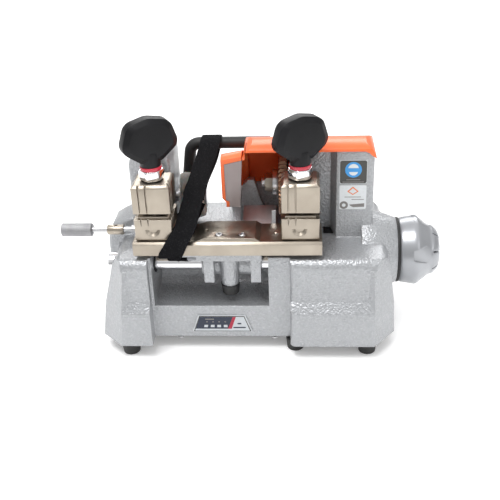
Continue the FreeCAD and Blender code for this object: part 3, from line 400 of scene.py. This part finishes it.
def level_panel_print():
    lo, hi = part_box("level_panel")
    w, h, y = hi.x - lo.x, hi.z - lo.z, lo.y
    slope = 5.7 * MM / h        # how far each slanted end leans in, per metre of height

    def at(u, v):
        """u from the left edge to the right edge of the slanted panel, v from bottom to top, both 0 to 1."""
        inset = slope * h * v
        return (lo.x + inset + u * (w - 2 * inset), lo.z + v * h)

    border = [at(0.012, 0.03), at(0.988, 0.03), at(0.985, 0.97), at(0.015, 0.97)]
    light = [at(0.028, 0.075), at(0.972, 0.075), at(0.967, 0.925), at(0.033, 0.925)]
    dark = [at(0.028, 0.20), at(0.60, 0.20), at(0.735, 0.925), at(0.033, 0.925)]
    slash = [at(0.60, 0.20), at(0.665, 0.20), at(0.80, 0.925), at(0.735, 0.925)]
    decal("panel_border", [border], y, 1, INK_DARK)
    decal("panel_light", [light], y, 2, INK_PALE)
    decal("panel_dark", [dark], y, 3, INK_NAVY)
    decal("panel_slash", [slash], y, 3, INK_RED)
    lights = []
    for i in range(4):
        u = 0.17 + 0.12 * i
        lights.append([at(u, 0.30), at(u + 0.068, 0.30), at(u + 0.068, 0.44), at(u, 0.44)])
    decal("panel_lights", lights, y, 4, INK_PALE)
    marks = [[at(u, 0.60), at(u + 0.03, 0.60), at(u + 0.03, 0.66), at(u, 0.66)]
             for u in (0.19, 0.31, 0.43, 0.55)]
    marks.append([at(0.16, 0.76), at(0.34, 0.76), at(0.34, 0.82), at(0.16, 0.82)])
    decal("panel_marks", marks, y, 4, INK_GREY)
    cx, cz = at(0.83, 0.52)
    bars = [round_rect(cx - 1.6 * MM, cx + 1.6 * MM, cz - 0.6 * MM, cz + 0.6 * MM, 0.4 * MM, 2),
            round_rect(cx - 5.2 * MM, cx + 5.2 * MM, cz - 4.4 * MM, cz - 3.4 * MM, 0.4 * MM, 2)]
    decal("panel_key_marks", bars, y, 4, INK_NAVY)


def column_prints():
    lo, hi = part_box("column_stickers")
    y = lo.y
    mid = lo.z + 22.1 * MM      # between the two stickers
    margin = 0.4 * MM
    gap = 1.0 * MM
    cx = (lo.x + hi.x) / 2
    # upper sticker: dark field, blue disc with plain pale bands
    field = round_rect(lo.x + margin, hi.x - margin, mid + gap, hi.z - margin, 1.6 * MM)
    decal("upper_field", [field], y, 1, INK_DARK)
    dz = hi.z - 8.2 * MM
    decal("upper_disc", [disc(cx, dz, 6.6 * MM)], y, 2, INK_BLUE)
    dome = [(cx + 4.2 * MM * math.cos(a), dz + 0.8 * MM + 4.2 * MM * math.sin(a))
            for a in map(math.radians, range(10, 171, 16))]
    bowl = [(cx + 3.6 * MM * math.cos(a), dz - 1.2 * MM + 3.6 * MM * math.sin(a))
            for a in map(math.radians, range(190, 351, 16))]
    decal("upper_shapes", [dome, bowl], y, 3, INK_WHITE)
    rows = [round_rect(cx - 5.6 * MM, cx + 5.6 * MM, mid + 3.9 * MM, mid + 4.6 * MM, 0.0003, 2),
            round_rect(cx - 8.6 * MM, cx + 8.6 * MM, mid + 1.9 * MM, mid + 2.6 * MM, 0.0003, 2)]
    decal("upper_rows", rows, y, 3, INK_GREY)
    # lower sticker: pale field, orange lozenge, plain rows, grey ring and grey strip
    field = round_rect(lo.x + margin, hi.x - margin, lo.z + margin, mid - gap, 1.4 * MM)
    decal("lower_field", [field], y, 1, INK_WHITE)
    tz = mid - 6.0 * MM
    lozenge = [(cx - 4.6 * MM, tz), (cx, tz + 4.2 * MM), (cx + 4.6 * MM, tz), (cx, tz - 3.2 * MM)]
    core = [(cx - 3.1 * MM, tz), (cx, tz + 2.8 * MM), (cx + 3.1 * MM, tz), (cx, tz - 2.1 * MM)]
    decal("lower_lozenge", [lozenge], y, 2, INK_ORANGE)
    decal("lower_lozenge_core", [core], y, 3, INK_WHITE)
    rows = [round_rect(cx - 6.6 * MM, cx + 6.6 * MM, tz - 5.2 * MM, tz - 4.7 * MM, 0.0002, 2),
            round_rect(cx - 1.0 * MM, cx + 9.0 * MM, tz - 7.4 * MM, tz - 6.9 * MM, 0.0002, 2)]
    decal("lower_rows", rows, y, 2, INK_GREY)
    rx, rz = lo.x + 3.9 * MM, lo.z + 4.0 * MM
    decal("lower_ring", [disc(rx, rz, 3.4 * MM)], y, 2, INK_GREY)
    decal("lower_ring_core", [disc(rx, rz, 1.5 * MM, 24)], y, 3, INK_WHITE)
    strip = [(lo.x + 8.2 * MM, rz + 0.4 * MM), (hi.x - 1.6 * MM, rz + 1.5 * MM),
             (hi.x - 1.6 * MM, rz - 1.6 * MM),
             (lo.x + 11.5 * MM, rz - 1.9 * MM), (lo.x + 9.5 * MM, rz - 0.9 * MM)]
    decal("lower_strip", [strip], y, 2, INK_GREY)


level_panel_print()
column_prints()


# ------------------------------------------------------------------ knurled knob of the key stop
def knurled_knob():
    around, along = 144, 92         # facets round the knob and steps along it
    starts, pitch = 18, 1.6 * MM    # diamonds round the knob and their length along it
    depth = 0.46 * MM
    end_hollow = (2.4 * MM, 0.5 * MM)   # radius and depth of the dish in the outer end
    lo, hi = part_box("stop_knob")
    cy, cz = (lo.y + hi.y) / 2, (lo.z + hi.z) / 2
    radius = (hi.y - lo.y) / 2 - 0.10 * MM
    x0, x1 = lo.x + 1.0 * MM, hi.x - 0.9 * MM
    turns = [2 * math.pi * k / around for k in range(around)]
    bm = bmesh.new()
    rings = []
    # (x, radius, share of the knurl)
    profile = [(lo.x, radius * 0.84, 0.0), (lo.x + 0.2 * MM, radius * 0.90, 0.0),
               (x0 - 0.3 * MM, radius * 0.985, 0.0)]
    for i in range(along + 1):
        profile.append((x0 + (x1 - x0) * i / along, radius, 1.0))
    profile += [(x1 + 0.3 * MM, radius * 0.97, 0.0), (hi.x, radius * 0.86, 0.0)]
    for x, r, knurl in profile:
        ring = []
        for a in turns:
            u = starts * a / (2 * math.pi)
            v = (x - x0) / pitch
            d1 = abs((u + v * 0.9) % 1.0 - 0.5) * 2
            d2 = abs((u - v * 0.9) % 1.0 - 0.5) * 2
            rr = r - knurl * depth * (1 - min(d1, d2))
            ring.append(bm.verts.new((x, cy + rr * math.cos(a), cz + rr * math.sin(a))))
        rings.append(ring)
    for a, b in zip(rings, rings[1:]):
        for k in range(around):
            j = (k + 1) % around
            bm.faces.new((a[k], a[j], b[j], b[k]))
    # dished outer end and flat inner end
    dish, sunk = end_hollow
    inner = [bm.verts.new((lo.x + sunk, cy + dish * math.cos(a), cz + dish * math.sin(a))) for a in turns]
    for k in range(around):
        j = (k + 1) % around
        bm.faces.new((rings[0][j], rings[0][k], inner[k], inner[j]))
    bm.faces.new(inner)
    bm.faces.new(list(reversed(rings[-1])))
    knob = piece("knurled_knob", bm, "knob_nickel", "stop", 30)
    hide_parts("stop_knob")


knurled_knob()


# ------------------------------------------------------------------ nylon brush
def nylon_brush():
    rows, per_row = 15, 150
    hub = 7.6 * MM                  # bristles start just inside the hub's surface
    root, point_end = 0.20 * MM, 0.24 * MM      # bristle half thickness at root and tip
    lo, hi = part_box("brush_bristles")
    cy, cz = (lo.y + hi.y) / 2, (lo.z + hi.z) / 2
    outer = (hi.z - lo.z) / 2
    random.seed(7)
    bm = bmesh.new()
    for row in range(rows):
        share = (row + 0.5) / rows
        x = lo.x + 1.2 * MM + share * (hi.x - lo.x - 2.4 * MM)
        # trimmed shorter toward both ends
        right_trim = 0.10 * max(0.0, (share - 0.55) / 0.45) ** 2
        left_trim = 0.05 * max(0.0, (0.2 - share) / 0.2) ** 2
        reach = outer * (1.0 - right_trim - left_trim)
        for k in range(per_row):
            a = 2 * math.pi * (k + random.random() * 0.7) / per_row
            tip = reach * (0.965 + 0.03 * random.random())
            lean = random.uniform(-0.035, 0.035)
            push = random.uniform(-0.5, 0.5) * MM
            ends = [Vector((x, cy + hub * math.cos(a), cz + hub * math.sin(a))),
                    Vector((x + push, cy + tip * math.cos(a + lean), cz + tip * math.sin(a + lean)))]
            side = Vector((0, -math.sin(a), math.cos(a)))
            loops = []
            for point, t in zip(ends, (root, point_end)):
                loops.append([bm.verts.new(point + Vector((t, 0, 0))),
                              bm.verts.new(point + Vector((-t * 0.5, 0, 0)) + side * t * 0.87),
                              bm.verts.new(point + Vector((-t * 0.5, 0, 0)) - side * t * 0.87)])
            for i in range(3):
                j = (i + 1) % 3
                bm.faces.new((loops[0][i], loops[0][j], loops[1][j], loops[1][i]))
            bm.faces.new(list(reversed(loops[0])))
            bm.faces.new(loops[1])
    brush = piece("nylon_brush", bm, "bristle", "brush")
    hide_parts("brush_bristles")


nylon_brush()


# ------------------------------------------------------------------ transport strap
def smooth_path(points, steps):
    """Catmull-Rom curve through (centre, across direction) pairs."""
    result = []
    count = len(points)
    for i in range(count - 1):
        p0 = points[max(i - 1, 0)]
        p1, p2 = points[i], points[i + 1]
        p3 = points[min(i + 2, count - 1)]
        for k in range(steps):
            t = k / steps
            blended = []
            for a, b, c, d in zip(p0, p1, p2, p3):
                blended.append(0.5 * ((2 * b) + (c - a) * t + (2 * a - 5 * b + 4 * c - d) * t * t
                                      + (3 * b - a - 3 * c + d) * t * t * t))
            result.append(tuple(blended))
    result.append(points[-1])
    return result


def webbing_band(name, curve, first, last, half, thick):
    """Flat webbing along part of a curve of (centre, across) vectors, its woven edges rolled slightly."""
    columns = 12
    edge_roll = 0.45                # share of the thickness lost at the very edge
    shares = [-1 + 2 * k / columns for k in range(columns + 1)]
    bm = bmesh.new()
    uv = bm.loops.layers.uv.new("UVMap")
    rings = []
    travelled = 0.0
    for i in range(first, last + 1):
        centre, across = curve[i]
        before = curve[max(i - 1, 0)][0]
        after = curve[min(i + 1, len(curve) - 1)][0]
        along = (after - before).normalized()
        wide = (across - along * across.dot(along)).normalized()
        normal = wide.cross(along).normalized()
        if i:
            travelled += (centre - before).length
        ring = []
        for side, order in ((1, shares), (-1, reversed(shares))):
            for s in order:
                rise = normal * side * thick * 0.5 * (1 - edge_roll * abs(s) ** 8)
                ring.append((centre + wide * half * s + rise, s))
        rings.append([(bm.verts.new(p), s, travelled) for p, s in ring])
    for a, b in zip(rings, rings[1:]):
        n = len(a)
        for k in range(n):
            j = (k + 1) % n
            face = bm.faces.new((a[k][0], a[j][0], b[j][0], b[k][0]))
            for loop, source in zip(face.loops, (a[k], a[j], b[j], b[k])):
                loop[uv].uv = (source[1] * half, source[2])
    bm.faces.new([v[0] for v in reversed(rings[0])])
    bm.faces.new([v[0] for v in rings[-1]])
    return piece(name, bm, "webbing", None, 50)


def transport_strap():
    half, thick = 8.6 * MM, 1.45 * MM
    gap = 0.9 * MM                  # centre line of the webbing above a surface it lies on
    steps = 7                       # rings between two path points
    knot = 11                       # path point where the two lengths meet
    bar_lo, bar_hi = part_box("handle_grip")
    plate_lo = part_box("carriage_plate")[0]
    bar_mid = (bar_lo.y + bar_hi.y) / 2 / MM
    top = bar_hi.z / MM + gap / MM
    rear = bar_hi.y / MM + gap / MM
    front = plate_lo.y / MM - 1.6
    low = plate_lo.z / MM - gap / MM
    level = (1.0, 0.0, 0.0)
    slant = (0.975, 0.0, -0.22)
    twist = Vector((0.92, -0.32, -0.12)).normalized()
    # (x, y, z) in mm and the direction across the webbing, from behind the plate, under it,
    # up its front, back to the handle, round the handle and down again
    path = [
        (-44.0, -8.2, 120.0, level),
        (-52.0, -8.0, 104.0, level),
        (-60.0, -8.4, low + 6.0, level),
        (-61.5, -11.0, low + 0.1, level),
        (-61.5, -30.0, low, level),
        (-61.8, front + 3.0, low - 0.5, (0.998, 0.0, -0.06)),
        (-61.9, front, low + 0.9, slant),
        (-59.2, front, 95.6, slant),
        (-55.4, front - 0.1, 103.0, twist),
        (-51.5, front + 2.8, 109.5, twist),
        (-48.2, -43.4, 114.8, twist),
        (-45.9, -24.0, 122.6, (0.97, -0.15, 0.05)),
        (-42.0, 2.0, 133.4, level),
        (-37.6, 28.0, 144.2, level),
        (-35.4, 44.0, top - 0.4, level),
        (-35.0, bar_mid, top + 0.1, level),
        (-35.0, rear - 2.2, top - 1.2, level),
        (-35.2, rear, top - 4.5, level),
        (-36.0, rear - 0.6, top - 9.0, level),
        (-37.0, rear - 5.0, top - 12.6, level),
        (-38.6, 36.0, 135.6, level),
        (-43.0, 2.0, 131.2, level),
        (-45.0, -8.0, 127.0, level),
        (-45.4, -9.4, 121.0, level),
    ]
    curve = smooth_path([(Vector((x, y, z)) * MM, Vector(across)) for x, y, z, across in path], steps)
    # two lengths meeting on the rocker, a lower and an upper one
    lower = webbing_band("strap_lower", curve, 0, knot * steps, half, thick)
    upper = webbing_band("strap_upper", curve, knot * steps, len(curve) - 1, half, thick)
    for band in (lower, upper):
        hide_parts("transport_strap")
    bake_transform(lower)
    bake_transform(upper)


transport_strap()


# ------------------------------------------------------------------ floor, light, camera
SKY_LOW, SKY_HIGH = 0.26, 0.95      # strength of the surroundings near the horizon and overhead
FLOOR_STEPS = [-20.0, -6.0, -1.5, 1.5, 6.0, 20.0]
FLOOR_SINK = 0.0002
FLOOR_GLOW = 0.22
# name, place, size, power; all aim at the middle of the machine
LIGHTS = [
    ("key", (-0.30, -0.40, 1.50), (0.7, 0.7), 14.0),
    ("fill", (1.1, -1.1, 0.9), (0.8, 1.0), 3.0),
    ("rim", (0.1, 1.7, 1.1), (1.8, 0.7), 16.0),
]
LIGHT_AIM = Vector((0.0, 0.0, 0.09))


def studio():
    world = bpy.data.worlds.new("studio")
    bpy.context.scene.world = world
    world.use_nodes = True
    tree = world.node_tree
    background = tree.nodes["Background"]
    background.inputs["Color"].default_value = (1.0, 1.0, 1.0, 1.0)
    # brighter overhead than at the horizon, plain white where the camera looks past the floor
    coord = tree.nodes.new("ShaderNodeTexCoord")
    split = tree.nodes.new("ShaderNodeSeparateXYZ")
    sky = tree.nodes.new("ShaderNodeMapRange")
    path = tree.nodes.new("ShaderNodeLightPath")
    pick = tree.nodes.new("ShaderNodeMix")
    tree.links.new(coord.outputs["Generated"], split.inputs[0])
    tree.links.new(split.outputs["Z"], sky.inputs["Value"])
    sky.inputs["From Min"].default_value = -0.1
    sky.inputs["From Max"].default_value = 0.9
    sky.inputs["To Min"].default_value = SKY_LOW
    sky.inputs["To Max"].default_value = SKY_HIGH
    tree.links.new(path.outputs["Is Camera Ray"], pick.inputs["Factor"])
    tree.links.new(sky.outputs["Result"], pick.inputs[2])
    pick.inputs[3].default_value = 1.0
    tree.links.new(pick.outputs[0], background.inputs["Strength"])
    # wide pale floor, sunk a hair below the feet
    bm = bmesh.new()
    rows = [[bm.verts.new((x, y, -FLOOR_SINK)) for x in FLOOR_STEPS] for y in FLOOR_STEPS]
    for a, b in zip(rows, rows[1:]):
        for k in range(len(FLOOR_STEPS) - 1):
            bm.faces.new((a[k], a[k + 1], b[k + 1], b[k]))
    paint = printed("floor_paint", (0.93, 0.93, 0.93), (0.96, 0.96, 0.96), 0.7)
    glow = paint.node_tree.nodes["Principled BSDF"].inputs
    glow["Emission Color"].default_value = (1.0, 1.0, 1.0, 1.0)
    glow["Emission Strength"].default_value = FLOOR_GLOW
    floor = piece("floor", bm, paint, None)

    for name, place, size, power in LIGHTS:
        lamp = bpy.data.lights.new(name, "AREA")
        lamp.shape = "RECTANGLE"
        lamp.size, lamp.size_y = size
        lamp.energy = power
        obj = bpy.data.objects.new(name, lamp)
        obj.location = place
        obj.rotation_mode = "QUATERNION"
        obj.rotation_quaternion = (LIGHT_AIM - Vector(place)).to_track_quat("-Z", "Y")
        bpy.context.scene.collection.objects.link(obj)
    bpy.context.scene.view_settings.view_transform = "Standard"


studio()


CAMERA_PLACE = (0.044232, -0.600826, 0.398497)
CAMERA_PITCH = math.radians(28.70)      # looking down
CAMERA_YAW = math.radians(-4.35)
CAMERA_ROLL = math.radians(-2.31)
CAMERA_LENS, CAMERA_SENSOR = 57.48, 36.0


def camera():
    level = math.cos(CAMERA_PITCH)
    forward = Vector((math.sin(CAMERA_YAW) * level, math.cos(CAMERA_YAW) * level, -math.sin(CAMERA_PITCH)))
    right = Vector((math.cos(CAMERA_YAW), -math.sin(CAMERA_YAW), 0.0))
    up = right.cross(forward)
    rolled_right = right * math.cos(CAMERA_ROLL) + up * math.sin(CAMERA_ROLL)
    rolled_up = up * math.cos(CAMERA_ROLL) - right * math.sin(CAMERA_ROLL)
    data = bpy.data.cameras.new("camera")
    data.lens = CAMERA_LENS
    data.sensor_width = CAMERA_SENSOR
    obj = bpy.data.objects.new("camera", data)
    turn = Matrix((rolled_right, rolled_up, -forward)).transposed()
    obj.matrix_world = Matrix.Translation(CAMERA_PLACE) @ turn.to_4x4()
    bpy.context.scene.collection.objects.link(obj)
    bpy.context.scene.camera = obj


camera()

bpy.context.view_layer.update()
